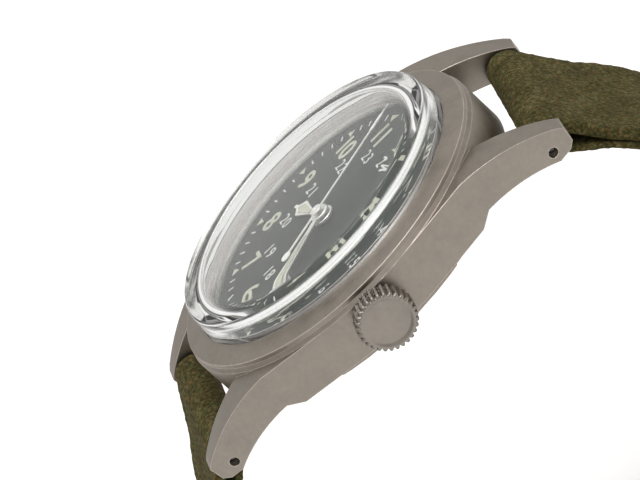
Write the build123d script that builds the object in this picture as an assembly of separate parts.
"""Hand-wound field watch on a buckled canvas strap, one solid per real piece.

The dial faces +Z, twelve o'clock points to +Y and the crown to +X. The origin is the
middle of the case back's outer face. Lengths are millimetres, angles are degrees.
"""

import os
from math import acos, asin, atan2, cos, degrees, hypot, radians, sin

from build123d import *

os.makedirs("parts", exist_ok=True)

# Fits used between pieces, and one overrun for every cut
fixed_gap = 0.02
running_gap = 0.05
soft_gap = 0.3
overrun = 1.0

# Faces round the hidden discs and rods, more on larger ones
peg_sides = 12
middle_sides = 24
hidden_ring_sides = 30
bezel_sides = 72
turned_sides = 48
crystal_sides = 36
hub_sides = 12
screw_sides = 8
peg_limit = 1.5
middle_limit = 4.5

# Case ring and bezel, measured up from the case back
case_radius = 17.0
case_wall = 2.0
case_low_z = 1.7
shelf_z = 6.15
wall_step = 0.25
wall_radius = case_radius - wall_step
wall_low_z = 6.53
ridge_z = 6.96
bezel_width = 2.0
bezel_radius = wall_radius - bezel_width
bezel_z = 7.5
ledge_top_z = 6.6
ledge_thick = 0.5
ledge_step = 0.5
holder_bore_radius = bezel_radius - ledge_step
ledge_width = 1.3
dial_opening_radius = holder_bore_radius - ledge_width
back_bore_radius = case_radius - case_wall
back_bore_depth = 0.95

# Lugs and strap bars
lug_gap = 18.0
lug_width = 2.25
lug_tip_x = lug_gap / 2 + lug_width
lug_reach = 4.7
lug_tip_y = case_radius + lug_reach
bar_setback = 2.13
bar_y = lug_tip_y - bar_setback
bar_z = 1.2
bar_tip_radius = 0.42
lug_hole_sides = 12
lug_low_z = 0.12
lug_arch_z = 2.5

# Crown, crown tube and stem, on one axis along X
crown_z = 4.1
crown_radius = 2.8
crown_teeth = 30
crown_tooth_depth = 0.2
crown_gap = 0.5
crown_base_x = case_radius + crown_gap
crown_length = 2.47
crown_face_x = crown_base_x + crown_length
crown_cap_thick = 0.42
crown_travel = 0.9
tube_radius = 1.0
tube_wall = 0.32
tube_cover = 1.07
stem_radius = 0.5
square_side = 0.66
stem_pivot_radius = 0.15
crown_gasket_thick = 0.28

# Crystal and the bright ring inside it
crystal_wall = 1.4
crystal_shoulder_z = 10.02
crystal_dome_rise = 0.7
crystal_shoulder_width = 1.1
crystal_draft = 0.25
crystal_thick = 1.05
dome_middle = 0.55
dome_middle_rise = 0.7
dome_flat = 0.12
flange_ring_wall = 0.26
flange_ring_height = 0.88
flange_ring_skirt = 0.5

# Case back and its gasket
back_rim_step = 1.1
back_rim_radius = case_radius - back_rim_step
back_slope_width = 2.7
back_flat_radius = back_rim_radius - back_slope_width
back_rim_low_z = 0.95
back_plate_thick = 0.85
back_spigot_wall = 0.9
back_notch_width = 2.2
back_notch_depth = 0.8
back_notches = 6
gasket_width = 0.5
gasket_thick = 0.3

# Dial and hands
dial_radius = holder_bore_radius - running_gap
dial_thick = 0.4
dial_hole_radius = 0.82
hour_hand_z = 6.35
minute_hand_z = 6.75
second_hand_z = 7.12
hand_thick = 0.14
hour_hand_turn = 252.0
minute_hand_turn = 143.5
second_hand_turn = 330.0
hour_hand_length = 0.4865 * dial_opening_radius
minute_hand_length = 0.7413 * dial_opening_radius
second_hand_length = 0.9266 * dial_opening_radius
second_hand_tail = 0.35 * second_hand_length
hand_hub_radius = 1.15
second_hub_radius = 0.62

# Movement frame: its plan follows the plate that the holder ring and the case leave room for
holder_wall = 1.35
plate_radius = holder_bore_radius - holder_wall - 2 * running_gap
drawn_plate_radius = 12.8
plan = plate_radius / drawn_plate_radius
plate_low_z = 3.2
plate_top_z = 5.45
bridge_low_z = 1.9
train_bridge_thick = 0.5
barrel_bridge_low_z = 2.3
barrel_bridge_thick = 0.55
# Places of the arbors, seen from the dial
barrel_x = 3.6 * plan
barrel_y = 6.6 * plan
great_x = -1.6 * plan
great_y = 5.4 * plan
third_x = -2.405 * plan
third_y = 1.892 * plan
escape_turn = 235.0
escape_distance = 2.73 * plan
pallet_distance = 2.25 * plan
balance_distance = 2.9 * plan
minute_wheel_x = 2.4 * plan
setting_wheel_x = 4.92 * plan
crown_wheel_x = 7.2 * plan

# Teeth
barrel_teeth = 56
great_teeth = 48
great_leaves = 8
third_teeth = 45
third_leaves = 6
seconds_teeth = 60
seconds_leaves = 6
escape_leaves = 6
escape_teeth = 15
driving_teeth = 48
cannon_leaves = 10
minute_wheel_teeth = 30
minute_wheel_leaves = 8
hour_wheel_teeth = 32
setting_teeth = 12
crown_wheel_teeth = 26
ratchet_teeth = 42
winding_leaves = 14
tip_share = 0.8
root_share = 1.1

# Wheel layers and thicknesses
wheel_thick = 0.14
pinion_overlap = 0.04
third_wheel_z = 2.5
seconds_wheel_z = 2.74
great_wheel_z = 2.96
driving_wheel_z = 4.62
minute_wheel_z = 4.92
hour_wheel_z = 5.22
motion_thick = 0.22
recess_floor_z = 4.56
recess_radius = 3.1 * plan
outer_recess_z = 4.86
arbor_radius = 0.25
pivot_length = 0.08
seconds_arbor_radius = 0.12
centre_tube_radius = 0.28
cannon_radius = 0.45
hour_tube_radius = 0.68
wheel_arm = 0.42
wheel_rim = 0.4
wheel_hub = 0.7

# Barrel and its springs
barrel_z = 3.3
barrel_height = 1.05
barrel_drum_radius = 4.35 * plan
barrel_wall = 0.3
barrel_flange = 0.2
barrel_arbor_radius = 1.1
barrel_arbor_post = 0.55
mainspring_turns = 5
mainspring_thick = 0.12
mainspring_steps = 8
ratchet_z = 1.95
ratchet_thick = 0.28
crown_wheel_low_z = 2.0
crown_wheel_high_z = 2.87

# Escapement and balance
escape_wheel_radius = 1.95 * plan
pallet_rock = 5.0
balance_radius = 4.2 * plan
balance_rim = 0.55
balance_z = 2.4
balance_thick = 0.24
roller_radius = 0.62
impulse_radius = 0.08
hairspring_z = 2.22
hairspring_turns = 4
hairspring_inner = 0.62
hairspring_outer = 2.6 * plan
hairspring_thick = 0.05
hairspring_steps = 8
cock_low_z = 1.75
cock_thick = 0.32
cock_foot_turn = 272.0

# Screws
screw_head_radius = 0.62
screw_head_thick = 0.28
wheel_screw_radius = 1.0
screw_shank_radius = 0.28
clamp_first_turn = 198.0
clamp_second_turn = 318.0
barrel_screw_turns = (22.0, 112.0)
train_screw_turns = (150.0, 177.0)

# Strap: width, canvas thickness and the loop that it is buckled to
strap_width = lug_gap - 2 * soft_gap
strap_taper = 1.4
strap_end_width = strap_width - strap_taper
canvas_thick = 1.2
lining_thick = 0.7
bar_tube_radius = 0.75
bar_play = 0.1
fold_run = 6.0
strap_drop_turn = 50.0
strap_straight = 7.0
side_radius = 20.0
under_radius = 60.0
short_strap_length = 65.0
long_strap_length = 98.0
strap_step = 3.8
tail_taper = 6.0
tail_tip_width = 6.0
strap_hole_radius = 0.85
strap_hole_sides = 10
strap_hole_pitch = 7.0
strap_holes = 5
keeper_width = 4.0
keeper_thick = 0.9
fixed_keeper_at = 58.0
sliding_keeper_at = 50.8

# Buckle, measured from its bar
buckle_bar_radius = 0.6
buckle_bar_lift = 0.25
buckle_fold_radius = 1.5
buckle_play = 0.7
buckle_inner_width = strap_end_width + buckle_play
buckle_arm = 1.5
buckle_reach = 8.6
buckle_thick = 1.3
buckle_rise = 2.4
tongue_width = 1.8
tongue_thick = 0.9
tongue_slot_start = -2.0
tongue_slot_end = 6.0

# Spring bars
bar_tube_length = strap_width - 4 * running_gap
bar_tip_seat = 1.6
bar_tip_reach = lug_gap / 2 + bar_tip_seat
bar_tip_length = 4.6


def polar(radius, turn):
    """Point at a radius and a turn, counted anticlockwise from +X."""
    return radius * cos(radians(turn)), radius * sin(radians(turn))


def pivot(radius, low, high, x=0, y=0):
    """Truly round disc, pivot or bore between two heights."""
    return Pos(x, y, low) * Cylinder(radius, high - low, align=(Align.CENTER, Align.CENTER, Align.MIN))


def peg(radius, low, high, x=0, y=0, sides=peg_sides):
    """Round post or hole with few faces."""
    return Pos(x, y, low) * extrude(RegularPolygon(radius, sides), high - low)


def disc(radius, low, high, x=0, y=0):
    """Hidden round disc or room, with faces to suit its size."""
    if radius < peg_limit:
        return peg(radius, low, high, x, y)
    return peg(radius, low, high, x, y, middle_sides if radius < middle_limit else hidden_ring_sides)


def ring(outer, inner, low, high, x=0, y=0):
    """Flat ring between two heights."""
    return disc(outer, low, high, x, y) - disc(inner, low - overrun, high + overrun, x, y)


def rod_x(radius, start, end, y=0, z=crown_z, sides=peg_sides):
    """Rod or bore along X, with few faces."""
    return Pos(start, y, z) * Rot(0, 90, 0) * extrude(RegularPolygon(radius, sides), end - start)


def pivot_x(radius, start, end, y=0, z=crown_z):
    """Truly round rod or bore along X."""
    return Pos(start, y, z) * Rot(0, 90, 0) * Cylinder(radius, end - start,
                                                       align=(Align.CENTER, Align.CENTER, Align.MIN))


def turned(outline):
    """Solid turned about Z from an outline of (radius, height) points."""
    return revolve(Plane.XZ * make_face(Polyline(*outline, close=True)), Axis.Z)


def stacked(stations, sides):
    """Few-sided turned solid through (radius, height) stations, lowest first."""
    rings = [[Vector(*polar(radius, 360 * side / sides), height) for side in range(sides)]
             for radius, height in stations]
    faces = [Face(Wire.make_polygon(rings[0])), Face(Wire.make_polygon(rings[-1]))]
    for low, high in zip(rings, rings[1:]):
        for side in range(sides):
            after = (side + 1) % sides
            faces.append(Face(Wire.make_polygon([low[side], low[after], high[after], high[side]])))
    return Solid(Shell(faces))


def turned_x(outline):
    """Solid turned about the stem's axis from an outline of (x, radius) points."""
    face = make_face(Plane.XZ * Polyline(*outline, close=True))
    return Pos(0, 0, crown_z) * revolve(face, Axis.X)


def slab(low_x, high_x, low_y, high_y, low_z, high_z):
    """Block between three pairs of limits."""
    return Pos((low_x + high_x) / 2, (low_y + high_y) / 2, (low_z + high_z) / 2) * Box(
        high_x - low_x, high_y - low_y, high_z - low_z)


def plate(points, low, high):
    """Flat plate with a straight-sided outline."""
    return Pos(0, 0, low) * extrude(make_face(Polyline(*points, close=True)), high - low)


def tooth_module(distance, teeth, mate_teeth):
    """Module of two wheels whose arbors stand a given distance apart."""
    return 2 * distance / (teeth + mate_teeth)


def meshed_start(start, teeth, turn, mate_teeth):
    """Start angle that puts a wheel's gaps on the other wheel's teeth, along their line."""
    phase = (turn - start) * teeth / 360
    return turn + 180 - (0.5 - phase) * 360 / mate_teeth


def toothed(teeth, module, low, high, x=0, y=0, start=0):
    """Toothed disc with pointed teeth."""
    pitch_radius = teeth * module / 2
    points = []
    for tooth in range(teeth):
        turn = start + 360 * tooth / teeth
        points += [polar(pitch_radius + tip_share * module, turn),
                   polar(pitch_radius - root_share * module, turn + 180 / teeth)]
    return Pos(x, y, 0) * plate(points, low, high)


def crossed(wheel, pitch_radius, arms, low, high, x=0, y=0, start=0):
    """Cut the openings between a wheel's arms."""
    outer, inner = pitch_radius - wheel_rim, wheel_hub
    half_arm = wheel_arm / 2
    for arm in range(arms):
        first, last = start + 360 * arm / arms, start + 360 * (arm + 1) / arms
        middle = (first + last) / 2
        outer_edge, inner_edge = degrees(asin(half_arm / outer)), degrees(asin(half_arm / inner))
        outline = [polar(inner, first + inner_edge), polar(outer, first + outer_edge), polar(outer, middle),
                   polar(outer, last - outer_edge), polar(inner, last - inner_edge)]
        wheel -= Pos(x, y, 0) * plate(outline, low - overrun, high + overrun)
    return wheel


def save(solid, name):
    """Write one piece to its own file."""
    export_step(solid, f"parts/{name}.step")


# Places worked out from the driving sizes
escape_x, escape_y = polar(escape_distance, escape_turn)
pallet_x, pallet_y = polar(escape_distance + pallet_distance, escape_turn)
balance_x, balance_y = polar(escape_distance + pallet_distance + balance_distance, escape_turn)
crystal_radius = bezel_radius - running_gap
crystal_bore = crystal_radius - crystal_wall
crystal_base_z = ledge_top_z + fixed_gap
dial_top_z = ledge_top_z - ledge_thick - running_gap
dial_low_z = dial_top_z - dial_thick
back_inner_z = back_plate_thick


def mid_case():
    """Case ring with stepped bezel, four drilled lugs and the bores for all that it holds."""
    reach = hypot(lug_tip_x, lug_tip_y)
    tangent_turn = degrees(atan2(lug_tip_y, lug_tip_x) - acos(case_radius / reach))
    tangent_x, tangent_y = polar(case_radius, tangent_turn)
    quarter = [(tangent_x, tangent_y), (lug_tip_x, lug_tip_y)]
    outline = quarter + [(-x, y) for x, y in reversed(quarter)]
    outline += [(-x, -y) for x, y in quarter] + [(x, -y) for x, y in reversed(quarter)]
    lugs = plate(outline, 0, shelf_z)
    lugs &= lug_side_shape()
    lugs -= slab(-lug_gap / 2, lug_gap / 2, -lug_tip_y - overrun, lug_tip_y + overrun, -overrun, shelf_z + overrun)
    shell = pivot(case_radius, case_low_z, shelf_z) + lugs
    shell += stacked([(case_radius, shelf_z), (wall_radius, wall_low_z), (wall_radius, ridge_z),
                      (bezel_radius, bezel_z)], bezel_sides)
    ledge_low_z = ledge_top_z - ledge_thick
    bore_top_z = case_low_z + back_bore_depth
    shell -= disc(back_bore_radius, 0, bore_top_z)
    shell -= disc(holder_bore_radius, 0, ledge_low_z)
    shell -= peg(dial_opening_radius + running_gap, 0, ledge_top_z, sides=crystal_sides)
    shell -= peg(bezel_radius, ledge_top_z, bezel_z + overrun, sides=bezel_sides)
    for side in (-1, 1):
        shell -= rod_x(bar_tip_radius + running_gap, -case_radius, case_radius, side * bar_y, bar_z, lug_hole_sides)
    return shell - rod_x(tube_radius + fixed_gap, 0, case_radius + overrun)


def lug_side_shape():
    """Lugs from the side: a long falling back, a blunt tip and an arch underneath."""
    fall_y, fall_mid_y = 0.56 * lug_tip_y, 0.78 * lug_tip_y
    fall_mid_z, tip_top_z = 0.79 * shelf_z, 0.39 * shelf_z
    heel_y, arch_mid_y, arch_end_y = 0.9 * lug_tip_y, 0.735 * lug_tip_y, 0.57 * lug_tip_y
    arch_mid_z = lug_low_z + 0.69 * (lug_arch_z - lug_low_z)
    foot_y = 0.5 * lug_tip_y
    blunt = 0.02 * lug_tip_y
    shape = None
    for side in (-1, 1):
        def at(y, z):
            return side * y, z
        lines = [Line(at(0, case_low_z), at(0, shelf_z)), Line(at(0, shelf_z), at(fall_y, shelf_z)),
                 ThreePointArc(at(fall_y, shelf_z), at(fall_mid_y, fall_mid_z), at(lug_tip_y - blunt, tip_top_z)),
                 Line(at(lug_tip_y - blunt, tip_top_z), at(lug_tip_y, tip_top_z - blunt)),
                 Line(at(lug_tip_y, tip_top_z - blunt), at(lug_tip_y - blunt / 2, lug_low_z + blunt)),
                 Line(at(lug_tip_y - blunt / 2, lug_low_z + blunt), at(lug_tip_y - 2 * blunt, lug_low_z)),
                 Line(at(lug_tip_y - 2 * blunt, lug_low_z), at(heel_y, lug_low_z)),
                 ThreePointArc(at(heel_y, lug_low_z), at(arch_mid_y, arch_mid_z), at(arch_end_y, lug_arch_z)),
                 Line(at(arch_end_y, lug_arch_z), at(foot_y, case_low_z)),
                 Line(at(foot_y, case_low_z), at(0, case_low_z))]
        half = extrude(Plane.YZ * make_face(Curve() + lines), case_radius, both=True)
        shape = half if shape is None else shape + half
    return shape


def crystal():
    """Box crystal: upright wall, bevelled shoulder and a low dome, hollow underneath."""
    side = crystal_radius - crystal_draft
    top = side - crystal_shoulder_width
    apex_z = crystal_shoulder_z + crystal_dome_rise
    ceiling_z = crystal_shoulder_z - crystal_thick
    inner_side = crystal_bore - crystal_draft
    inner_bevel = crystal_shoulder_width / 2
    outside = [(crystal_radius, crystal_base_z), (side, crystal_shoulder_z - crystal_shoulder_width / 2),
               (top, crystal_shoulder_z), (top * dome_middle, crystal_shoulder_z + crystal_dome_rise * dome_middle_rise),
               (top * dome_flat, apex_z)]
    inside = [(crystal_bore, crystal_base_z - overrun), (crystal_bore, bezel_z),
              (inner_side, ceiling_z - inner_bevel), (inner_side - inner_bevel, ceiling_z)]
    return stacked(outside, crystal_sides) - stacked(inside, crystal_sides)


def flange_ring():
    """Bright sloped ring that holds the crystal's wall out and frames the dial."""
    foot, outside = dial_opening_radius - fixed_gap, crystal_bore - fixed_gap
    low, seat, top = ledge_top_z - flange_ring_skirt, ledge_top_z + fixed_gap, ledge_top_z + flange_ring_height
    inside = foot - flange_ring_wall
    lip = outside - flange_ring_wall / 2
    body = stacked([(foot, low), (foot, seat), (outside, top)], crystal_sides)
    return body - stacked([(inside, low - overrun), (inside, low), (lip, top), (lip, top + overrun)], crystal_sides)


def case_back():
    """Screwed back: flat middle, sloped edge, rim with key notches, seal groove and spigot."""
    rim_top_z = case_low_z - running_gap
    spigot_radius = back_bore_radius - running_gap
    spigot_top_z = case_low_z + back_bore_depth - 2 * running_gap
    seal_radius = back_bore_radius + gasket_width
    back = stacked([(back_flat_radius, 0), (back_rim_radius, back_rim_low_z), (back_rim_radius, rim_top_z)],
                   turned_sides)
    back -= disc(seal_radius, rim_top_z - gasket_thick, case_radius)
    back += disc(spigot_radius, rim_top_z - gasket_thick, spigot_top_z)
    back -= disc(spigot_radius - back_spigot_wall, back_inner_z, case_radius)
    for notch in range(back_notches):
        key = slab(back_rim_radius - back_notch_depth, back_rim_radius + overrun, -back_notch_width / 2,
                   back_notch_width / 2, -overrun, rim_top_z - gasket_thick - running_gap)
        back -= Rot(0, 0, 360 * (notch + 0.5) / back_notches) * key
    return back


def case_back_gasket():
    """Square-cut seal in the groove between the back's rim and the case."""
    low, high = case_low_z - running_gap - gasket_thick + fixed_gap, case_low_z - fixed_gap
    return ring(back_bore_radius + gasket_width - fixed_gap, back_bore_radius, low, high)


def crown():
    """Fluted crown, hollow to slide over its tube."""
    tooth_length_end = crown_face_x - crown_cap_thick
    points = []
    for tooth in range(crown_teeth):
        for turn, radius in ((0.05, crown_radius), (0.6, crown_radius), (0.825, crown_radius - crown_tooth_depth)):
            points.append(polar(radius, 360 * (tooth + turn) / crown_teeth))
    shoulder = crown_base_x + 2 * crown_cap_thick / 3
    flutes = Pos(shoulder, 0, crown_z) * Rot(0, 90, 0) * plate(points, 0, tooth_length_end - shoulder)
    core = crown_radius - 1.5 * crown_tooth_depth
    cap = turned_x([(shoulder, 0), (shoulder, core), (tooth_length_end, core),
                    (crown_face_x, core - crown_tooth_depth), (crown_face_x, 0)])
    cap += rod_x(core - crown_tooth_depth, crown_base_x, shoulder + fixed_gap, sides=crown_teeth)
    bore = tube_radius + running_gap
    hollow = rod_x(bore, 0, tube_outer_end() + crown_travel / 3)
    seat = rod_x(bore + crown_gasket_thick, crown_base_x + crown_cap_thick,
                 crown_base_x + crown_cap_thick + 2 * crown_gasket_thick, sides=middle_sides)
    return flutes + cap - hollow - seat


def tube_outer_end():
    """Where the crown tube ends, outside the case."""
    return crown_face_x - tube_cover


def crown_tube():
    """Tube pressed into the case, on which the crown slides."""
    start = holder_bore_radius + 2 * running_gap
    return rod_x(tube_radius, start, tube_outer_end()) - rod_x(tube_radius - tube_wall, 0, crown_face_x)


def crown_gasket():
    """Seal ring inside the crown, round the tube."""
    start = crown_base_x + crown_cap_thick + fixed_gap
    end = start + 2 * crown_gasket_thick - 2 * fixed_gap
    outer = tube_radius + running_gap + crown_gasket_thick - fixed_gap
    return rod_x(outer, start, end) - rod_x(tube_radius + fixed_gap, 0, crown_face_x)


# Stem places along X, from the middle outwards
stem_tip_x = setting_wheel_x - 0.6 * plan
square_start_x = 6.7 * plan
square_end_x = 9.1 * plan
sliding_start_x = 6.75 * plan
sliding_length = 2.1 * plan
winding_start_x = 9.25 * plan
winding_length = 1.2 * plan
lever_groove_x = 11.0 * plan
lever_groove_width = 0.5
yoke_groove_x = 7.6 * plan
yoke_groove_width = 0.5
sliding_radius = 0.86
winding_radius = 1.25
neck_share = 0.75


def stem():
    """Winding stem: pivot, square for the sliding pinion, round body and lever groove."""
    body = rod_x(stem_pivot_radius, stem_tip_x, square_start_x + fixed_gap)
    body += slab(square_start_x, square_end_x + fixed_gap, -square_side / 2, square_side / 2,
                 crown_z - square_side / 2, crown_z + square_side / 2)
    body += rod_x(stem_radius, square_end_x, tube_outer_end() + crown_travel / 3)
    groove = rod_x(stem_radius + overrun, lever_groove_x, lever_groove_x + lever_groove_width)
    groove -= rod_x(stem_radius - stem_radius / 3, 0, crown_face_x)
    return body - groove


def winding_pinion():
    """Pinion that turns the crown wheel, loose on the stem."""
    module = 2 * winding_radius / (winding_leaves + 2 * tip_share)
    teeth = toothed(winding_leaves, module, 0, winding_length)
    pinion = Pos(winding_start_x, 0, crown_z) * Rot(0, 90, 0) * teeth
    return pinion - pivot_x(stem_radius + running_gap, 0, crown_face_x)


def sliding_pinion():
    """Pinion on the stem's square, with a groove for the yoke and teeth at its ends."""
    module = 2 * sliding_radius / (setting_teeth + 2 * tip_share)
    end_length = yoke_groove_x - sliding_start_x
    teeth = Pos(sliding_start_x, 0, crown_z) * Rot(0, 90, 0) * toothed(setting_teeth, module, 0, end_length)
    clutch_start = yoke_groove_x + yoke_groove_width
    clutch = rod_x(sliding_radius, clutch_start, sliding_start_x + sliding_length)
    neck = rod_x(sliding_radius * neck_share, yoke_groove_x - fixed_gap, clutch_start + fixed_gap)
    half = square_side / 2 + running_gap
    bore = slab(0, case_radius, -half, half, crown_z - half, crown_z + half)
    return teeth + clutch + neck - bore


lever_pivot_x = 11.7 * plan
lever_pivot_y = 2.6
yoke_pivot_x = 7.4 * plan
yoke_pivot_y = -3.6 * plan
lever_low_z = 4.75
lever_thick = 0.3
post_radius = 0.3
keyless_half_width = 1.35
keyless_start_x = 5.8 * plan
keyless_end_x = 10.75 * plan
cover_overlap = 0.9
cover_thick = 0.13


def setting_lever():
    """Lever whose nose sits in the stem's groove and follows the crown out."""
    middle = lever_groove_x + lever_groove_width / 2
    nose = lever_groove_width / 2 - running_gap
    arm = plate([(lever_pivot_x - 2 * post_radius, lever_pivot_y + 2 * post_radius),
                 (middle - nose, stem_radius * 0.8), (middle + nose, stem_radius * 0.8),
                 (lever_pivot_x + 2 * post_radius, lever_pivot_y)], lever_low_z, lever_low_z + lever_thick)
    eye = peg(2.2 * post_radius, lever_low_z, lever_low_z + lever_thick, lever_pivot_x, lever_pivot_y)
    pin = slab(middle - nose, middle + nose, stem_radius * 0.8, stem_radius * 1.4,
               crown_z, lever_low_z + fixed_gap)
    hole = pivot(post_radius + running_gap, 0, plate_top_z, lever_pivot_x, lever_pivot_y)
    return arm + eye + pin - hole


def yoke():
    """Yoke whose fork sits in the sliding pinion's groove."""
    middle = yoke_groove_x + yoke_groove_width / 2
    nose = yoke_groove_width / 2 - 2 * running_gap
    low, high = crown_z - lever_thick / 2, crown_z + lever_thick / 2
    nose_y = -sliding_radius * neck_share - running_gap
    arm = plate([(yoke_pivot_x - post_radius, yoke_pivot_y), (yoke_pivot_x + post_radius, yoke_pivot_y),
                 (middle + nose, -sliding_radius - post_radius), (middle + nose, nose_y),
                 (middle - nose, nose_y), (middle - nose, -sliding_radius - post_radius)], low, high)
    eye = peg(2.2 * post_radius, low, high, yoke_pivot_x, yoke_pivot_y)
    return arm + eye - pivot(post_radius + running_gap, 0, plate_top_z, yoke_pivot_x, yoke_pivot_y)


def main_plate():
    """Main plate: recesses for the motion work, the barrel and the winding parts."""
    body = disc(plate_radius, plate_low_z, plate_top_z)
    body -= disc(recess_radius, recess_floor_z, plate_top_z + overrun)
    wheel_room = minute_wheel_radius() + running_gap
    body -= disc(wheel_room + 2 * running_gap, outer_recess_z, plate_top_z + overrun, minute_wheel_x)
    setting_room = setting_wheel_x + setting_module() * (setting_teeth / 2 + tip_share) + running_gap
    body -= slab(minute_wheel_x, setting_room, -keyless_half_width, keyless_half_width,
                 outer_recess_z, plate_top_z + overrun)
    body -= slab(keyless_start_x, keyless_end_x, -keyless_half_width, keyless_half_width,
                 plate_low_z - overrun, plate_top_z + overrun)
    body -= disc(barrel_outer_radius() + running_gap, plate_low_z - overrun,
                 barrel_z + barrel_height + running_gap, barrel_x, barrel_y)
    great_room = great_pinion_module() * (great_leaves / 2 + 1) + 2 * running_gap
    body -= disc(great_room, plate_low_z - overrun, barrel_z + barrel_flange + running_gap, great_x, great_y)
    body -= disc(arbor_radius + running_gap, 0, plate_top_z, third_x, third_y)
    leaf_room = driving_module * (third_leaves / 2 + tip_share) + running_gap
    body -= disc(leaf_room, driving_wheel_z - running_gap, plate_top_z + overrun, third_x, third_y)
    body -= disc(centre_tube_radius, 0, plate_top_z)
    body += ring(centre_tube_radius, seconds_arbor_radius + running_gap, plate_low_z,
                 hour_wheel_z + 4 * motion_thick)
    body -= rod_x(stem_pivot_radius + running_gap, stem_tip_x - running_gap, keyless_start_x + fixed_gap)
    body -= rod_x(stem_radius + running_gap, keyless_end_x - fixed_gap, plate_radius + overrun)
    body -= slab(lever_groove_x - overrun, lever_groove_x + lever_groove_width + overrun, 0,
                 lever_pivot_y + 4 * post_radius, crown_z - 2 * running_gap, plate_top_z + overrun)
    yoke_low = crown_z - lever_thick
    body -= slab(yoke_pivot_x - 3 * post_radius, yoke_pivot_x + 3 * post_radius, yoke_pivot_y - 4 * post_radius, 0,
                 yoke_low, plate_top_z + overrun)
    posts = disc(post_radius, crown_z - 3 * running_gap, plate_top_z, lever_pivot_x, lever_pivot_y)
    posts += disc(post_radius, yoke_low - fixed_gap, plate_top_z, yoke_pivot_x, yoke_pivot_y)
    posts += disc(post_radius, outer_recess_z - fixed_gap, plate_top_z, setting_wheel_x)
    return body + posts


def keyless_cover():
    """Cover over the winding parts, with the minute wheel's post under it."""
    low = plate_top_z + fixed_gap
    end_x, wide = keyless_end_x - 2 * running_gap, keyless_half_width + cover_overlap
    start_x, neck = minute_wheel_x - post_radius, cover_overlap / 2
    half = [(start_x, neck), (setting_wheel_x, neck), (keyless_start_x, wide), (end_x, wide)]
    cover = plate(half + [(x, -y) for x, y in reversed(half)], low, low + cover_thick)
    return cover + peg(post_radius / 2, outer_recess_z, low + fixed_gap, minute_wheel_x)


def minute_wheel_radius():
    """Tip radius of the minute wheel."""
    return motion_module() * (minute_wheel_teeth / 2 + tip_share)


def motion_module():
    """Module shared by the cannon pinion, minute wheel and hour wheel."""
    return tooth_module(minute_wheel_x, cannon_leaves, minute_wheel_teeth)


def setting_module():
    """Module of the setting wheel, meshed with the minute wheel."""
    return tooth_module(setting_wheel_x - minute_wheel_x, setting_teeth, minute_wheel_teeth)


def great_pinion_module():
    """Module of the barrel's teeth and the great pinion."""
    return tooth_module(hypot(barrel_x - great_x, barrel_y - great_y), barrel_teeth, great_leaves)


def barrel_outer_radius():
    """Tip radius of the barrel's teeth."""
    return great_pinion_module() * (barrel_teeth / 2 + tip_share)


def line_turn(from_x, from_y, to_x, to_y):
    """Direction from one arbor to another."""
    return degrees(atan2(to_y - from_y, to_x - from_x))


# Modules and start angles down the train, each wheel phased to the one before it
third_module = tooth_module(hypot(third_x, third_y), third_teeth, seconds_leaves)
great_module = tooth_module(hypot(third_x - great_x, third_y - great_y), great_teeth, third_leaves)
escape_module = tooth_module(escape_distance, seconds_teeth, escape_leaves)
driving_module = tooth_module(hypot(third_x, third_y), driving_teeth, third_leaves)
winding_distance = hypot(barrel_x - crown_wheel_x, barrel_y)
ratchet_module = tooth_module(winding_distance, ratchet_teeth, crown_wheel_teeth)
great_leaf_start = meshed_start(0, barrel_teeth, line_turn(barrel_x, barrel_y, great_x, great_y), great_leaves)
third_leaf_start = meshed_start(0, great_teeth, line_turn(great_x, great_y, third_x, third_y), third_leaves)
seconds_leaf_start = meshed_start(0, third_teeth, line_turn(third_x, third_y, 0, 0), seconds_leaves)
escape_leaf_start = meshed_start(0, seconds_teeth, escape_turn, escape_leaves)
driving_start = meshed_start(third_leaf_start, third_leaves, line_turn(third_x, third_y, 0, 0), driving_teeth)
minute_wheel_start = meshed_start(0, cannon_leaves, 0, minute_wheel_teeth)
hour_wheel_start = meshed_start(0, minute_wheel_leaves, 180, hour_wheel_teeth)
setting_start = meshed_start(minute_wheel_start, minute_wheel_teeth, 0, setting_teeth)
ratchet_start = meshed_start(0, crown_wheel_teeth, line_turn(crown_wheel_x, 0, barrel_x, barrel_y), ratchet_teeth)


def arbor(low, high, x=0, y=0):
    """Arbor with a narrow round pivot at its lower end."""
    shoulder = low + pivot_length
    return peg(arbor_radius / 2, shoulder, high, x, y) + pivot(arbor_radius / 3, low, shoulder, x, y)


def train_wheel(teeth, module, wheel_z, leaves, leaf_module, leaf_low, leaf_high, leaf_start, x, y, low, high):
    """Crossed-out wheel, its pinion and the arbor that carries both."""
    wheel = toothed(teeth, module, wheel_z, wheel_z + wheel_thick, x, y)
    wheel = crossed(wheel, teeth * module / 2, 4, wheel_z, wheel_z + wheel_thick, x, y)
    pinion = toothed(leaves, leaf_module, leaf_low, leaf_high, x, y, leaf_start)
    return wheel + pinion + arbor(low, high, x, y)


def great_wheel():
    """Great wheel, driven by the barrel."""
    return train_wheel(great_teeth, great_module, great_wheel_z, great_leaves, great_pinion_module(),
                       great_wheel_z + wheel_thick, barrel_z + barrel_flange, great_leaf_start,
                       great_x, great_y, bridge_low_z + train_bridge_thick + fixed_gap,
                       barrel_z + barrel_flange + running_gap / 2)


def third_wheel():
    """Third wheel, with a second pinion under the dial that drives the hands."""
    low = bridge_low_z + train_bridge_thick + fixed_gap
    body = train_wheel(third_teeth, third_module, third_wheel_z, third_leaves, great_module,
                       great_wheel_z - pinion_overlap, great_wheel_z + wheel_thick + pinion_overlap,
                       third_leaf_start, third_x, third_y, low, driving_wheel_z)
    body += toothed(third_leaves, driving_module, driving_wheel_z, driving_wheel_z + wheel_thick,
                    third_x, third_y, third_leaf_start)
    return body


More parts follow.
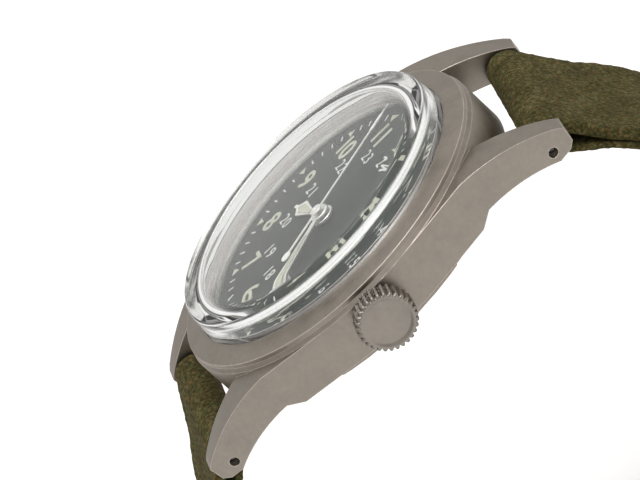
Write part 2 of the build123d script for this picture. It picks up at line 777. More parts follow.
def seconds_wheel():
    """Centre seconds wheel; its long arbor carries the second hand."""
    low = bridge_low_z + train_bridge_thick + fixed_gap
    body = train_wheel(seconds_teeth, escape_module, seconds_wheel_z, seconds_leaves, third_module,
                       third_wheel_z - pinion_overlap, third_wheel_z + wheel_thick + pinion_overlap,
                       seconds_leaf_start, 0, 0, low, plate_low_z - running_gap)
    return body + peg(seconds_arbor_radius, plate_low_z - 2 * running_gap, second_hand_z + hand_thick)


def escape_wheel():
    """Escape wheel with fifteen hooked teeth, on its pinion."""
    low, high = great_wheel_z, great_wheel_z + wheel_thick
    rim = 0.74 * escape_wheel_radius
    points = []
    for tooth in range(escape_teeth):
        turn = 360 * tooth / escape_teeth
        points += [polar(rim, turn), polar(escape_wheel_radius, turn + 9), polar(rim, turn + 14)]
    wheel = crossed(plate(points, low, high), rim + wheel_rim / 2, 4, low, high)
    pinion = toothed(escape_leaves, escape_module, seconds_wheel_z - pinion_overlap, low, 0, 0,
                     escape_leaf_start)
    staff = arbor(bridge_low_z + train_bridge_thick + fixed_gap, plate_low_z - fixed_gap)
    return Pos(escape_x, escape_y, 0) * (wheel + pinion + staff)


def pallet_fork():
    """Lever with two pallet stones and a forked end towards the balance."""
    low, high = great_wheel_z, great_wheel_z + wheel_thick
    reach = balance_distance - roller_radius * 0.55
    side_shares = ((-0.36, 0.66), (-0.14, 0.66), (-0.02, 0.09), (0.78, 0.05), (0.89, 0.16), (1.0, 0.16),
                   (1.0, 0.07), (0.87, 0.07))
    upper = [(along * reach * (pallet_distance / reach if along < 0 else 1), across * pallet_distance)
             for along, across in side_shares]
    lower = [(x, -y) for x, y in reversed(upper)]
    lever = plate(upper + lower, low, high)
    room = disc(escape_wheel_radius + running_gap, 0, plate_top_z, -pallet_distance)
    for rock in (-pallet_rock, 0, pallet_rock):
        lever -= Rot(0, 0, rock) * room
    staff = arbor(low - 2 * running_gap, plate_low_z - fixed_gap)
    return Pos(pallet_x, pallet_y, 0) * Rot(0, 0, escape_turn) * (lever + staff)


def balance_wheel():
    """Balance: rim, three arms, staff, collet, roller and impulse pin."""
    low, high = balance_z, balance_z + balance_thick
    wheel = ring(balance_radius, balance_radius - balance_rim, low, high)
    for arm in range(3):
        spoke = slab(0, balance_radius - balance_rim / 2, -wheel_arm / 2, wheel_arm / 2, low, low + balance_thick / 2)
        wheel += Rot(0, 0, 120 * arm) * spoke
    staff_low = cock_low_z + cock_thick + fixed_gap
    staff = peg(arbor_radius, staff_low + pivot_length, plate_low_z - running_gap)
    staff += pivot(arbor_radius / 2, staff_low, staff_low + pivot_length)
    collet = peg(hairspring_inner - 2 * running_gap, hairspring_z - running_gap, low)
    roller = peg(roller_radius, great_wheel_z - 3 * running_gap, great_wheel_z - running_gap)
    pin = peg(impulse_radius, great_wheel_z - 2 * running_gap, great_wheel_z + wheel_thick, -roller_radius * 0.7)
    return Pos(balance_x, balance_y, 0) * Rot(0, 0, escape_turn) * (wheel + staff + collet + roller + pin)


def spiral_tape(inner, outer, turns, thick, steps):
    """Outline of a flat spiral of tape, wound outwards at an even pitch."""
    count = turns * steps
    middle = []
    for step in range(count + 1):
        share = step / count
        middle.append((inner + (outer - inner) * share, 360 * turns * share))
    outside = [polar(radius + thick / 2, turn) for radius, turn in middle]
    inside = [polar(radius - thick / 2, turn) for radius, turn in middle]
    return outside + list(reversed(inside))


def hairspring():
    """Flat spiral between the collet and the stud."""
    tape = plate(spiral_tape(hairspring_inner, hairspring_outer, hairspring_turns, hairspring_thick, hairspring_steps),
                 hairspring_z, hairspring_z + 2 * running_gap)
    return Pos(balance_x, balance_y, 0) * Rot(0, 0, escape_turn) * tape


def regulator():
    """Index arm under the balance cock, with the stud that holds the hairspring's outer end."""
    stud_x = hairspring_outer + hairspring_thick
    arm_low_z = cock_low_z + cock_thick + fixed_gap
    arm = slab(-wheel_arm / 2, stud_x + wheel_arm, -wheel_arm / 2, wheel_arm / 2, arm_low_z,
               hairspring_z - running_gap)
    arm += peg(wheel_arm, arm_low_z, hairspring_z - running_gap)
    arm -= peg(arbor_radius + running_gap, 0, plate_top_z)
    stud = slab(stud_x, stud_x + wheel_arm / 2, -wheel_arm / 4, wheel_arm / 4, arm_low_z,
                hairspring_z + 2 * running_gap)
    return Pos(balance_x, balance_y, 0) * Rot(0, 0, escape_turn) * (arm + stud)


def barrel():
    """Barrel drum with the teeth that drive the great pinion."""
    module = great_pinion_module()
    body = toothed(barrel_teeth, module, barrel_z, barrel_z + barrel_flange, barrel_x, barrel_y)
    body += disc(barrel_drum_radius, barrel_z, barrel_z + barrel_height, barrel_x, barrel_y)
    body -= disc(barrel_drum_radius - barrel_wall, barrel_z - overrun,
                 barrel_z + barrel_height - barrel_wall / 2, barrel_x, barrel_y)
    return body - peg(barrel_arbor_post + running_gap, 0, plate_top_z, barrel_x, barrel_y)


def barrel_cover():
    """Lid snapped into the drum."""
    lid = disc(barrel_drum_radius - barrel_wall - fixed_gap, barrel_z, barrel_z + barrel_wall / 2,
               barrel_x, barrel_y)
    return lid - pivot(barrel_arbor_post + running_gap, 0, plate_top_z, barrel_x, barrel_y)


def barrel_arbor():
    """Arbor that winds the mainspring, carried by the plate and the barrel bridge."""
    low, high = barrel_z + barrel_wall / 2 + running_gap, barrel_z + barrel_height - barrel_wall / 2 - running_gap
    body = peg(barrel_arbor_radius, low, high, barrel_x, barrel_y)
    top = barrel_z + barrel_height + running_gap - fixed_gap
    post = peg(barrel_arbor_post, low, top, barrel_x, barrel_y)
    return body + post + pivot(barrel_arbor_post, ratchet_z, low, barrel_x, barrel_y)


def mainspring():
    """Spring coiled between the arbor and the drum's wall."""
    outer = barrel_drum_radius - barrel_wall - mainspring_thick
    inner = barrel_arbor_radius + mainspring_thick
    low, high = barrel_z + barrel_wall / 2 + running_gap, barrel_z + barrel_height - barrel_wall / 2 - running_gap
    return Pos(barrel_x, barrel_y, 0) * plate(
        spiral_tape(inner, outer, mainspring_turns, mainspring_thick, mainspring_steps), low, high)


def ratchet_wheel():
    """Wheel on the arbor's end that the crown wheel winds and the click holds."""
    wheel = toothed(ratchet_teeth, ratchet_module, ratchet_z, ratchet_z + ratchet_thick,
                    barrel_x, barrel_y, ratchet_start)
    return wheel - peg(barrel_arbor_post + fixed_gap, 0, plate_top_z, barrel_x, barrel_y)


def crown_wheel():
    """Wheel between the winding pinion and the ratchet wheel."""
    wheel = toothed(crown_wheel_teeth, ratchet_module, crown_wheel_low_z, crown_wheel_high_z, crown_wheel_x)
    return wheel - pivot(crown_wheel_boss + running_gap, 0, plate_top_z, crown_wheel_x)


crown_wheel_boss = 0.8
click_turn = 62.0
click_thick = 0.24


def click_place():
    """Pivot of the click, outside the ratchet wheel's teeth."""
    tip = ratchet_module * (ratchet_teeth / 2 + tip_share)
    away_x, away_y = polar(tip + 3 * post_radius, click_turn + 95)
    return barrel_x + away_x, barrel_y + away_y


def click():
    """Pawl whose nose rests against the ratchet wheel's teeth."""
    eye_x, eye_y = click_place()
    tip = ratchet_module * (ratchet_teeth / 2 + tip_share) + running_gap
    nose_x, nose_y = polar(tip, click_turn + 75)
    side_x, side_y = polar(tip + 2 * post_radius, click_turn + 77)
    low, high = ratchet_z, ratchet_z + click_thick
    out_x, out_y = polar(ratchet_module * (ratchet_teeth / 2 + tip_share) + 5 * post_radius, click_turn + 96)
    in_x, in_y = polar(tip + running_gap, click_turn + 88)
    arm = Pos(barrel_x, barrel_y, 0) * plate([(nose_x, nose_y), (side_x, side_y), (out_x, out_y),
                                              (in_x, in_y)], low, high)
    eye = peg(2 * post_radius, low, high, eye_x, eye_y)
    ratchet_room = disc(tip, 0, plate_top_z, barrel_x, barrel_y)
    return arm + eye - ratchet_room - pivot(post_radius + running_gap, 0, plate_top_z, eye_x, eye_y)


def click_spring():
    """Bent wire that presses the click towards the ratchet wheel."""
    tip = ratchet_module * (ratchet_teeth / 2 + tip_share) + running_gap
    outer = tip + 3 * post_radius
    points = [polar(outer, click_turn + 75 - 5 * step) for step in range(1, 8)]
    points += [polar(outer + mainspring_thick, click_turn + 75 - 5 * step) for step in range(7, 0, -1)]
    return Pos(barrel_x, barrel_y, 0) * plate(points, ratchet_z, ratchet_z + click_thick)


def in_plate(solid, low, high, reach=None):
    """Part of a solid inside the movement's round outline."""
    return solid & disc(reach or plate_radius, low, high)


# The barrel bridge takes the turns towards the barrel and the crown
bridge_start_turn = -14.0
bridge_end_turn = 118.0
bridge_foot_radius = 11.6 * plan
bridge_middle_radius = 3.4 * plan


def split_wedge(from_turn, to_turn, low, high):
    """Wedge of the movement's disc between two turns."""
    points = [(0, 0)] + [polar(2 * plate_radius, from_turn + (to_turn - from_turn) * step / 6) for step in range(7)]
    return in_plate(plate(points, low, high), low, high)


def barrel_bridge():
    """Bridge over the barrel, with the crown wheel's pocket and the pinion's window."""
    low, high = barrel_bridge_low_z, barrel_bridge_low_z + barrel_bridge_thick
    bridge = split_wedge(bridge_start_turn, bridge_end_turn, low, high)
    bridge -= disc(bridge_middle_radius, low - overrun, high + overrun)
    feet = split_wedge(bridge_start_turn, bridge_end_turn, high, plate_low_z)
    feet -= disc(bridge_foot_radius, high - overrun, plate_low_z + overrun)
    feet -= disc(barrel_outer_radius() + 2 * running_gap, 0, plate_top_z, barrel_x, barrel_y)
    pocket_radius = ratchet_module * (crown_wheel_teeth / 2 + tip_share) + running_gap
    floor_z = crown_wheel_high_z + running_gap
    bridge += disc(pocket_radius + barrel_wall, low, plate_low_z, crown_wheel_x)
    bridge -= disc(pocket_radius, 0, floor_z, crown_wheel_x)
    bridge += feet
    boss = peg(crown_wheel_boss, crown_wheel_low_z, plate_low_z, crown_wheel_x)
    bridge -= slab(winding_start_x - running_gap, winding_start_x + winding_length + running_gap,
                   -keyless_half_width, keyless_half_width, crown_z - winding_radius - running_gap, plate_top_z)
    bridge -= peg(barrel_arbor_post + running_gap, 0, plate_top_z, barrel_x, barrel_y)
    bridge -= disc(great_room_radius(), 0, plate_top_z, great_x, great_y)
    bridge -= disc(third_room_radius(), 0, plate_top_z, third_x, third_y)
    return in_plate(bridge + boss, 0, plate_top_z)


def great_room_radius():
    """Room that the great wheel needs."""
    return great_module * (great_teeth / 2 + tip_share) + running_gap


def third_room_radius():
    """Room that the third wheel needs."""
    return third_module * (third_teeth / 2 + tip_share) + running_gap


def train_bridge():
    """Bridge over the great, third, seconds and escape wheels."""
    low, high = bridge_low_z, bridge_low_z + train_bridge_thick
    outer = 2 * arbor_radius + bridge_foot_radius
    ends = [polar(outer, turn) for turn in (140, 165, 190)]
    points = [(great_x + 1.6 * wheel_hub, great_y - wheel_hub), (great_x + wheel_hub, great_y + 1.5 * wheel_hub),
              (great_x - wheel_hub, great_y + 2 * wheel_hub)] + ends
    points += [(escape_x - 1.2 * wheel_hub, escape_y + wheel_hub / 2),
               (escape_x - wheel_hub / 2, escape_y - wheel_hub / 1.5), (escape_x + wheel_hub, escape_y - wheel_hub / 2),
               (2 * wheel_hub, -wheel_hub), (2 * wheel_hub, wheel_hub)]
    bridge = plate(points, low, high)
    foot_ring = ring(outer, bridge_foot_radius - 4 * arbor_radius, high - fixed_gap, plate_low_z)
    foot = foot_ring & plate([(0, 0), polar(2 * outer, 142), polar(2 * outer, 188)], low, plate_low_z)
    room = disc(great_room_radius(), high, plate_top_z, great_x, great_y)
    room += disc(third_room_radius(), high, plate_top_z, third_x, third_y)
    tip = ratchet_module * (ratchet_teeth / 2 + tip_share) + running_gap
    bridge -= disc(tip, 0, plate_top_z, barrel_x, barrel_y)
    return in_plate(bridge, low, high, outer) + (foot - room)


def pallet_bridge():
    """Small bridge under the pallet fork's staff."""
    low, high = balance_z + balance_thick + 2 * running_gap, great_wheel_z - 2 * running_gap - fixed_gap
    length = 3.4 * wheel_hub
    bar = slab(-0.75 * wheel_hub, 0.75 * wheel_hub, -length, length, low, high)
    feet = slab(-0.75 * wheel_hub, 0.75 * wheel_hub, -length, length, high - fixed_gap, plate_low_z)
    feet -= slab(-wheel_hub, wheel_hub, -length + wheel_hub, length - wheel_hub, 0, plate_top_z)
    return Pos(pallet_x, pallet_y, 0) * Rot(0, 0, escape_turn) * (bar + feet)


def balance_cock():
    """Cock that reaches over the balance from a foot at the plate's edge."""
    low, high = cock_low_z, cock_low_z + cock_thick
    foot_x, foot_y = polar(plate_radius - 2.1 * wheel_hub, cock_foot_turn)
    half = 1.3 * wheel_hub
    along = line_turn(foot_x, foot_y, balance_x, balance_y)
    length = hypot(balance_x - foot_x, balance_y - foot_y)
    arm = Pos(foot_x, foot_y, 0) * Rot(0, 0, along) * plate(
        [(-3 * half, -1.6 * half), (0, -1.6 * half), (length, -half), (length, half), (0, 1.6 * half),
         (-3 * half, 1.6 * half)], low, high)
    eye = disc(half, low, high, balance_x, balance_y)
    foot = Pos(foot_x, foot_y, 0) * Rot(0, 0, along) * slab(-3 * half, half, -1.6 * half, 1.6 * half,
                                                          high - fixed_gap, plate_low_z)
    foot -= disc(balance_radius + 2 * running_gap, 0, plate_top_z, balance_x, balance_y)
    return in_plate(arm + eye + foot, 0, plate_top_z, plate_radius - fixed_gap)


def cannon_pinion():
    """Cannon pinion with the driving wheel that slips when the hands are set."""
    body = toothed(driving_teeth, driving_module, driving_wheel_z, driving_wheel_z + wheel_thick,
                   start=driving_start)
    body += toothed(cannon_leaves, motion_module(), driving_wheel_z, minute_wheel_z + motion_thick)
    body += peg(cannon_radius, minute_wheel_z, minute_hand_z + hand_thick)
    return body - pivot(centre_tube_radius + running_gap / 2, 0, 2 * plate_top_z)


def minute_wheel():
    """Minute wheel and its pinion, beside the cannon pinion."""
    body = toothed(minute_wheel_teeth, motion_module(), minute_wheel_z, minute_wheel_z + motion_thick,
                   minute_wheel_x, 0, minute_wheel_start)
    body += toothed(minute_wheel_leaves, motion_module(), minute_wheel_z, hour_wheel_z + motion_thick,
                    minute_wheel_x, 0, 0)
    return body - pivot(post_radius / 2 + running_gap, 0, 2 * plate_top_z, minute_wheel_x)


def hour_wheel():
    """Hour wheel, whose tube carries the hour hand."""
    body = toothed(hour_wheel_teeth, motion_module(), hour_wheel_z, hour_wheel_z + motion_thick,
                   start=hour_wheel_start)
    body += peg(hour_tube_radius, hour_wheel_z, hour_hand_z + hand_thick)
    return body - pivot(cannon_radius + running_gap, 0, 2 * plate_top_z)


def setting_wheel():
    """Wheel between the sliding pinion and the minute wheel."""
    wheel = toothed(setting_teeth, setting_module(), minute_wheel_z, minute_wheel_z + motion_thick,
                    setting_wheel_x, 0, setting_start)
    return wheel - pivot(post_radius + running_gap, 0, 2 * plate_top_z, setting_wheel_x)


def dial():
    """Dial blank with its centre hole."""
    return disc(dial_radius, dial_low_z, dial_top_z) - disc(dial_hole_radius, 0, dial_top_z + overrun)


def holder_ring():
    """Spacer ring between the movement and the case, pierced for the stem."""
    low = case_low_z + back_bore_depth + running_gap
    inner = plate_radius + running_gap
    body = peg(inner + holder_wall, low, dial_low_z - fixed_gap, sides=hidden_ring_sides)
    body -= peg(inner, low - overrun, dial_low_z + overrun, sides=hidden_ring_sides)
    return body - rod_x(stem_radius + 3 * running_gap, 0, case_radius)


def clamp_places():
    """Turns at which the case clamps hold the movement."""
    return clamp_first_turn, clamp_second_turn


def clamp_screw_radius():
    """How far out the clamp screws stand."""
    return plate_radius - 1.2 * screw_head_radius


def case_clamps():
    """Two clamps that tie the movement to its holder ring."""
    tabs = None
    top = case_low_z + back_bore_depth + running_gap - fixed_gap
    low = top - lever_thick
    for turn in clamp_places():
        tab = Rot(0, 0, turn) * slab(plate_radius - 2.2 * screw_head_radius, plate_radius + screw_head_radius,
                                     -screw_head_radius, screw_head_radius, low, top)
        x, y = polar(clamp_screw_radius(), turn)
        tab -= peg(screw_shank_radius + fixed_gap, 0, plate_top_z, x, y, screw_sides)
        tabs = tab if tabs is None else tabs + tab
    return tabs


def screw(x, y, seat_z, length):
    """Screw driven up from the back, its head under the given seat."""
    head = screw_head(x, y, seat_z)
    return head + peg(screw_shank_radius, seat_z - 2 * fixed_gap, seat_z + length, x, y, screw_sides)


def clamp_screws():
    """Screws of the case clamps."""
    group = None
    top = case_low_z + back_bore_depth + running_gap - fixed_gap
    for turn in clamp_places():
        x, y = polar(clamp_screw_radius(), turn)
        piece = screw(x, y, top - lever_thick, plate_low_z - fixed_gap - top + lever_thick)
        group = piece if group is None else group + piece
    return group


def screw_head(x, y, seat_z, radius=screw_head_radius):
    """Screw head under a seat; its shank is left out where it is buried."""
    return peg(radius, seat_z - screw_head_thick, seat_z - fixed_gap, x, y, screw_sides)


def ratchet_screw():
    """Screw that keeps the ratchet wheel on the arbor."""
    return screw_head(barrel_x, barrel_y, ratchet_z, wheel_screw_radius)


def movement_screws():
    """Screws of the clamps, the bridges, the cock and the crown wheel."""
    group = clamp_screws() + screw_head(crown_wheel_x, 0, crown_wheel_low_z, wheel_screw_radius)
    for turn in barrel_screw_turns:
        x, y = polar(plate_radius - 1.4 * screw_head_radius, turn)
        group += screw_head(x, y, barrel_bridge_low_z)
    for turn in train_screw_turns:
        x, y = polar(bridge_foot_radius - screw_head_radius / 2, turn)
        group += screw_head(x, y, bridge_low_z)
    x, y = polar(plate_radius - 1.8 * screw_head_radius, cock_foot_turn)
    return group + screw_head(x, y, cock_low_z)


def hand(outline, hub, bore, low, turn):
    """Flat hand from the right half of its outline, pointing along its turn from twelve."""
    points = outline + [(-x, y) for x, y in reversed(outline) if x]
    blade = plate(points, low, low + hand_thick) + peg(hub, low, low + hand_thick, sides=hub_sides)
    return Rot(0, 0, -turn) * (blade - disc(bore, low - overrun, low + overrun))


def hour_hand():
    """Short hand with a broad five-sided body and a nib."""
    half_shares = ((0.045, 0), (0.045, 0.42), (0.14, 0.78), (0.03, 0.9), (0.03, 0.985), (0, 1.0))
    outline = [(x * hour_hand_length, y * hour_hand_length) for x, y in half_shares]
    return hand(outline, hand_hub_radius, hour_tube_radius + fixed_gap, hour_hand_z, hour_hand_turn)


def minute_hand():
    """Long hand that widens outwards and ends in a point."""
    half_shares = ((0.03, 0), (0.03, 0.2), (0.075, 0.86), (0, 1.0))
    outline = [(x * minute_hand_length, y * minute_hand_length) for x, y in half_shares]
    return hand(outline, 0.85 * hand_hub_radius, cannon_radius + fixed_gap, minute_hand_z, minute_hand_turn)


def second_hand():
    """Thin hand with a bar near its point and a drop-shaped tail."""
    length, tail = second_hand_length, second_hand_tail
    half_shares = ((0.008, 0.76), (0.022, 0.78), (0.022, 0.9), (0.008, 0.915), (0, 1.0))
    outline = [(0.012 * length, 0)] + [(x * length, y * length) for x, y in half_shares]
    drop_shares = ((0, 1.0), (0.1, 0.97), (0.13, 0.86), (0.04, 0.6), (0.035, 0))
    drop = [(x * tail, -y * tail) for x, y in drop_shares]
    return hand(drop + outline, second_hub_radius, seconds_arbor_radius + fixed_gap, second_hand_z, second_hand_turn)


# The buckled loop: two straight drops from the bars, two side arcs and one flatter arc below
side_centre_y = bar_y + strap_straight * cos(radians(strap_drop_turn)) - side_radius * sin(radians(strap_drop_turn))
side_centre_z = bar_z - strap_straight * sin(radians(strap_drop_turn)) - side_radius * cos(radians(strap_drop_turn))
under_turn = degrees(asin(side_centre_y / (under_radius - side_radius)))
side_turn = 180 - strap_drop_turn - under_turn
side_run = side_radius * radians(side_turn)
half_loop = strap_straight + side_run + under_radius * radians(under_turn)


def loop_at(run):
    """Place and heading on the loop, at a run from the bar at twelve."""
    if run > half_loop:
        y, z, heading = loop_at(2 * half_loop - run)
        return -y, z, -360 - heading
    if run < strap_straight:
        heading = -strap_drop_turn
        return bar_y + run * cos(radians(heading)), bar_z + run * sin(radians(heading)), heading
    if run < strap_straight + side_run:
        heading = -strap_drop_turn - degrees((run - strap_straight) / side_radius)
        out = radians(heading + 90)
        return side_centre_y + side_radius * cos(out), side_centre_z + side_radius * sin(out), heading
    heading = -180 + degrees((half_loop - run) / under_radius)
    centre_z = side_centre_z + (under_radius - side_radius) * cos(radians(under_turn))
    out = radians(heading + 90)
    return under_radius * cos(out), centre_z + under_radius * sin(out), heading


def off_loop(run, offset):
    """Point at an offset outwards from the loop."""
    y, z, heading = loop_at(run)
    return y + offset * cos(radians(heading + 90)), z + offset * sin(radians(heading + 90))


def ramp(value, stations):
    """Straight-line value between stations of (place, value)."""
    if value <= stations[0][0]:
        return stations[0][1]
    for (place, height), (next_place, next_height) in zip(stations, stations[1:]):
        if value <= next_place:
            return height + (next_height - height) * (value - place) / (next_place - place)
    return stations[-1][1]


def side_line(start, end, stations):
    """Points along one side of a strap, closer together where its stations are."""
    count = max(1, round(abs(end - start) / strap_step))
    runs = [start + (end - start) * step / count for step in range(count + 1)]
    return [off_loop(run, ramp(run, stations)) for run in runs]


def fold_points(run, offset, turn_from, turn_to, radius_from, radius_to, steps=6):
    """Rounded end of a strap about a point of the loop."""
    y, z = off_loop(run, offset)
    heading = loop_at(run)[2]
    points = []
    for step in range(steps + 1):
        share = step / steps
        turn = radians(heading + turn_from + (turn_to - turn_from) * share)
        radius = radius_from + (radius_to - radius_from) * share
        points.append((y + radius * cos(turn), z + radius * sin(turn)))
    return points


def across(points, width=strap_width):
    """Solid of a (y, z) outline across the strap's width."""
    return extrude(make_face(Plane.YZ * Polyline(*points, close=True)), width / 2, both=True)


def loop_plane(run, offset=0.0):
    """Plane on the loop: its x runs along the strap and its z points outwards."""
    y, z, heading = loop_at(run)
    y, z = off_loop(run, offset)
    along = (0, cos(radians(heading)), sin(radians(heading)))
    out = (0, cos(radians(heading + 90)), sin(radians(heading + 90)))
    return Plane(origin=(0, y, z), x_dir=along, z_dir=out)


def narrowed(strap):
    """Strap cut to its taper, from the lugs down to the buckle."""
    wide, narrow = strap_width / 2, strap_end_width / 2
    low_z = side_centre_z - 2 * side_radius
    taper_z = side_centre_z - side_radius / 2
    half = [(wide, shelf_z), (wide, bar_z), (narrow, taper_z), (narrow, low_z)]
    outline = half + [(-x, z) for x, z in reversed(half)]
    shape = extrude(make_face(Plane.XZ * Polyline(*outline, close=True)), 2 * side_radius + bar_y, both=True)
    return strap & shape


bar_loop = bar_tube_radius + bar_play
inner_face = [(0, -bar_loop - lining_thick), (fold_run, -lining_thick)]
outer_face = [(0, bar_loop + canvas_thick), (fold_run, canvas_thick)]
buckle_run = short_strap_length


def bar_eye(mirrored):
    """Drop-shaped room round a lug bar, narrowing to the slit between canvas and lining."""
    side = -1 if mirrored else 1
    y, z, heading = loop_at(0)
    tip_y, tip_z = off_loop(fold_run, 0)
    up_y, up_z = off_loop(0, bar_loop)
    down_y, down_z = off_loop(0, -bar_loop)
    wedge = across([(side * up_y, up_z), (side * tip_y, tip_z), (side * down_y, down_z)], strap_width + overrun)
    return wedge + rod_x(bar_loop, -strap_width, strap_width, side * y, z)


def short_strap():
    """Strap half at twelve: canvas and lining folded round the lug bar and the buckle bar."""
    end = buckle_run
    swell = 3 * buckle_fold_radius
    outer = outer_face + [(end - swell, canvas_thick), (end, buckle_bar_lift + buckle_fold_radius)]
    inner = inner_face + [(end - swell, -lining_thick), (end, buckle_bar_lift - buckle_fold_radius)]
    points = side_line(0, end, outer)
    points += fold_points(end, buckle_bar_lift, 90, -90, buckle_fold_radius, buckle_fold_radius)[1:-1]
    points += side_line(end, 0, inner)
    points += fold_points(0, 0, 270, 90, bar_loop + lining_thick, bar_loop + canvas_thick)[1:-1]
    strap = across(points) - bar_eye(False)
    y, z = off_loop(end, buckle_bar_lift)
    strap -= rod_x(buckle_bar_radius + bar_play, -strap_width, strap_width, y, z)
    slot = loop_plane(end, buckle_bar_lift) * Box(
        3 * buckle_fold_radius, tongue_width + 2 * soft_gap, 4 * buckle_fold_radius)
    return narrowed(strap - slot)


over_short = canvas_thick + soft_gap
over_bar = buckle_bar_lift + buckle_fold_radius + soft_gap
strap_thick = canvas_thick + lining_thick


def long_strap_stations():
    """Inner face of the strap half at six, as runs from the bar at twelve."""
    bar_six = 2 * half_loop
    clear = buckle_run + 1.4 * buckle_reach
    return [(0, over_short), (buckle_run - 3 * buckle_fold_radius, over_short),
            (buckle_run - buckle_fold_radius / 2, over_bar), (buckle_run + buckle_fold_radius, over_bar),
            (clear, -lining_thick), (bar_six - fold_run, -lining_thick),
            (bar_six, -bar_loop - lining_thick)]


def long_strap():
    """Strap half at six, threaded through the buckle and lying over the other half."""
    bar_six = 2 * half_loop
    tail_end = bar_six - long_strap_length
    inner = long_strap_stations()
    outer = [(run, height + strap_thick) for run, height in inner[:-1]] + [(bar_six, bar_loop + canvas_thick)]
    points = side_line(tail_end, bar_six, outer)
    points += fold_points(bar_six, 0, 90, -90, bar_loop + canvas_thick, bar_loop + lining_thick)[1:-1]
    points += side_line(bar_six, tail_end, inner)
    strap = across(points) - bar_eye(True)
    middle = buckle_run + (tongue_slot_start + tongue_slot_end) / 2
    for hole in range(strap_holes):
        if hole != 1:
            plane = loop_plane(middle - strap_hole_pitch * (hole - 1), over_short)
            punch = RegularPolygon(strap_hole_radius, strap_hole_sides)
            strap -= plane * extrude(punch, 3 * strap_thick, both=True)
    strap -= loop_plane(middle, over_short) * Box(tongue_slot_end - tongue_slot_start,
                                                  tongue_width + 2 * soft_gap, 6 * strap_thick)
    tip = loop_plane(tail_end, over_short)
    for side in (-1, 1):
        corner = make_face(Polyline((-overrun, side * strap_end_width), (-overrun, side * tail_tip_width / 2),
                                    (0, side * tail_tip_width / 2), (tail_taper, side * strap_end_width / 2),
                                    (tail_taper, side * strap_end_width), close=True))
        strap -= tip * extrude(corner, 4 * strap_thick, both=True)
    return narrowed(strap)


def keeper(run):
    """Canvas loop round both strap halves."""
    low = -lining_thick - soft_gap
    high = over_short + strap_thick + soft_gap
    inner_width = strap_end_width + 2 * soft_gap
    plane = loop_plane(run, (low + high) / 2)
    body = Box(keeper_width, inner_width + 2 * keeper_thick, high - low + 2 * keeper_thick)
    return plane * (body - Box(2 * keeper_width, inner_width, high - low))


def buckle_side():
    """Side view of the buckle frame, from its bar out to its front bar."""
    reach, thick, front_z = buckle_reach, buckle_thick, buckle_rise
    return [(-thick, -0.8 * thick), (0.9 * thick, -0.85 * thick), (reach - 0.6 * thick, front_z - 0.3 * thick),
            (reach + 0.5 * thick, front_z), (reach + 0.5 * thick, front_z + thick),
            (reach - 0.6 * thick, front_z + thick), (0.5 * thick, 0.75 * thick), (-thick, 0.8 * thick)]


def on_buckle(outline, low_x, high_x):
    """Solid of a side view of the buckle, between two places across it."""
    y, z = off_loop(buckle_run, buckle_bar_lift)
    heading = loop_at(buckle_run)[2]
    cos_h, sin_h = cos(radians(heading)), sin(radians(heading))
    points = [(y + along * cos_h - out * sin_h, z + along * sin_h + out * cos_h) for along, out in outline]
    face = make_face(Plane.YZ * Polyline(*points, close=True))
    return Pos(low_x, 0, 0) * extrude(face, high_x - low_x)


def buckle_frame():
    """Frame with two bent arms, a front bar and eyes for the buckle bar."""
    inner, outer = buckle_inner_width / 2, buckle_inner_width / 2 + buckle_arm
    side = buckle_side()
    front = [point for point in side if point[0] > buckle_reach - buckle_thick]
    frame = on_buckle(side, -outer, -inner) + on_buckle(side, inner, outer)
    frame += on_buckle(front, -inner - fixed_gap, inner + fixed_gap)
    y, z = off_loop(buckle_run, buckle_bar_lift)
    return frame - rod_x(buckle_bar_radius + fixed_gap, -2 * outer, 2 * outer, y, z)


def buckle_bar():
    """Bar through the frame's eyes, the short strap's fold and the tongue."""
    half = buckle_inner_width / 2 + buckle_arm - fixed_gap
    y, z = off_loop(buckle_run, buckle_bar_lift)
    return pivot_x(buckle_bar_radius, -half, half, y, z)


def buckle_tongue():
    """Tongue on the buckle bar, its tip resting on the front bar."""
    front_top = buckle_rise + buckle_thick + fixed_gap
    tip = buckle_reach + 0.8 * buckle_thick
    eye = 1.9 * buckle_bar_radius
    side = [(-eye * 0.7, -eye * 0.7), (eye * 0.7, -eye * 0.7), (1.4 * eye, 0),
            (buckle_reach - 0.8 * buckle_thick, front_top), (tip, front_top),
            (tip, front_top + 0.6 * tongue_thick), (buckle_reach - buckle_thick, front_top + tongue_thick),
            (0.8 * eye, 0.75 * eye), (-eye * 0.7, eye * 0.7)]
    blade = on_buckle(side, -tongue_width / 2, tongue_width / 2)
    y, z = off_loop(buckle_run, buckle_bar_lift)
    return blade - rod_x(buckle_bar_radius + running_gap, -tongue_width, tongue_width, y, z)


def spring_bar_tube(side):
    """Tube of a lug bar, at twelve or at six."""
    half = bar_tube_length / 2
    tube = rod_x(bar_tube_radius, -half, half, side * bar_y, bar_z)
    return tube - rod_x(bar_tip_radius + running_gap, -2 * half, 2 * half, side * bar_y, bar_z)


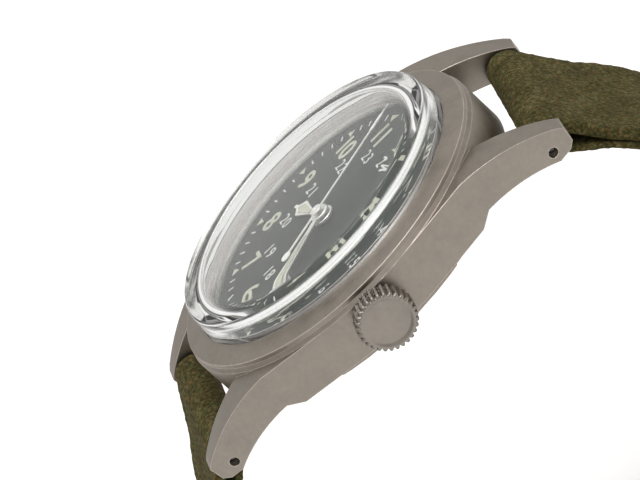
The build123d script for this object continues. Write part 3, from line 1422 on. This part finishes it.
def spring_bar_tip(side, end):
    """Sprung tip of a lug bar, from inside its tube into the lug."""
    low, high = bar_tip_reach - bar_tip_length, bar_tip_reach
    if end < 0:
        low, high = -high, -low
    return rod_x(bar_tip_radius, low, high, side * bar_y, bar_z)


def save_all():
    """Build and write every piece."""
    pieces = {
        "mid_case": mid_case, "crystal": crystal, "flange_ring": flange_ring, "case_back": case_back,
        "case_back_gasket": case_back_gasket, "crown": crown, "crown_tube": crown_tube,
        "crown_gasket": crown_gasket, "stem": stem, "winding_pinion": winding_pinion,
        "sliding_pinion": sliding_pinion, "setting_lever": setting_lever, "yoke": yoke,
        "main_plate": main_plate, "keyless_cover": keyless_cover, "great_wheel": great_wheel, "third_wheel": third_wheel,
        "seconds_wheel": seconds_wheel, "escape_wheel": escape_wheel, "pallet_fork": pallet_fork,
        "balance_wheel": balance_wheel, "hairspring": hairspring, "regulator": regulator,
        "barrel": barrel, "barrel_cover": barrel_cover, "barrel_arbor": barrel_arbor,
        "mainspring": mainspring, "ratchet_wheel": ratchet_wheel, "crown_wheel": crown_wheel,
        "click": click, "click_spring": click_spring, "barrel_bridge": barrel_bridge,
        "train_bridge": train_bridge, "pallet_bridge": pallet_bridge, "balance_cock": balance_cock,
        "cannon_pinion": cannon_pinion, "minute_wheel": minute_wheel,
        "hour_wheel": hour_wheel, "setting_wheel": setting_wheel, "dial": dial,
        "holder_ring": holder_ring, "case_clamps": case_clamps, "movement_screws": movement_screws,
        "ratchet_screw": ratchet_screw, "hour_hand": hour_hand, "minute_hand": minute_hand,
        "second_hand": second_hand, "short_strap": short_strap, "long_strap": long_strap,
        "buckle_frame": buckle_frame, "buckle_bar": buckle_bar, "buckle_tongue": buckle_tongue,
    }
    for name, make in pieces.items():
        save(make(), name)
    save(keeper(fixed_keeper_at), "fixed_keeper")
    save(keeper(sliding_keeper_at), "sliding_keeper")
    save(spring_bar_tube(1) + spring_bar_tube(-1), "spring_bar_tubes")
    for side, hour in ((1, "twelve"), (-1, "six")):
        for end, where in ((1, "crown"), (-1, "far")):
            save(spring_bar_tip(side, end), f"spring_bar_tip_{hour}_{where}")


if __name__ == "__main__":
    save_all()
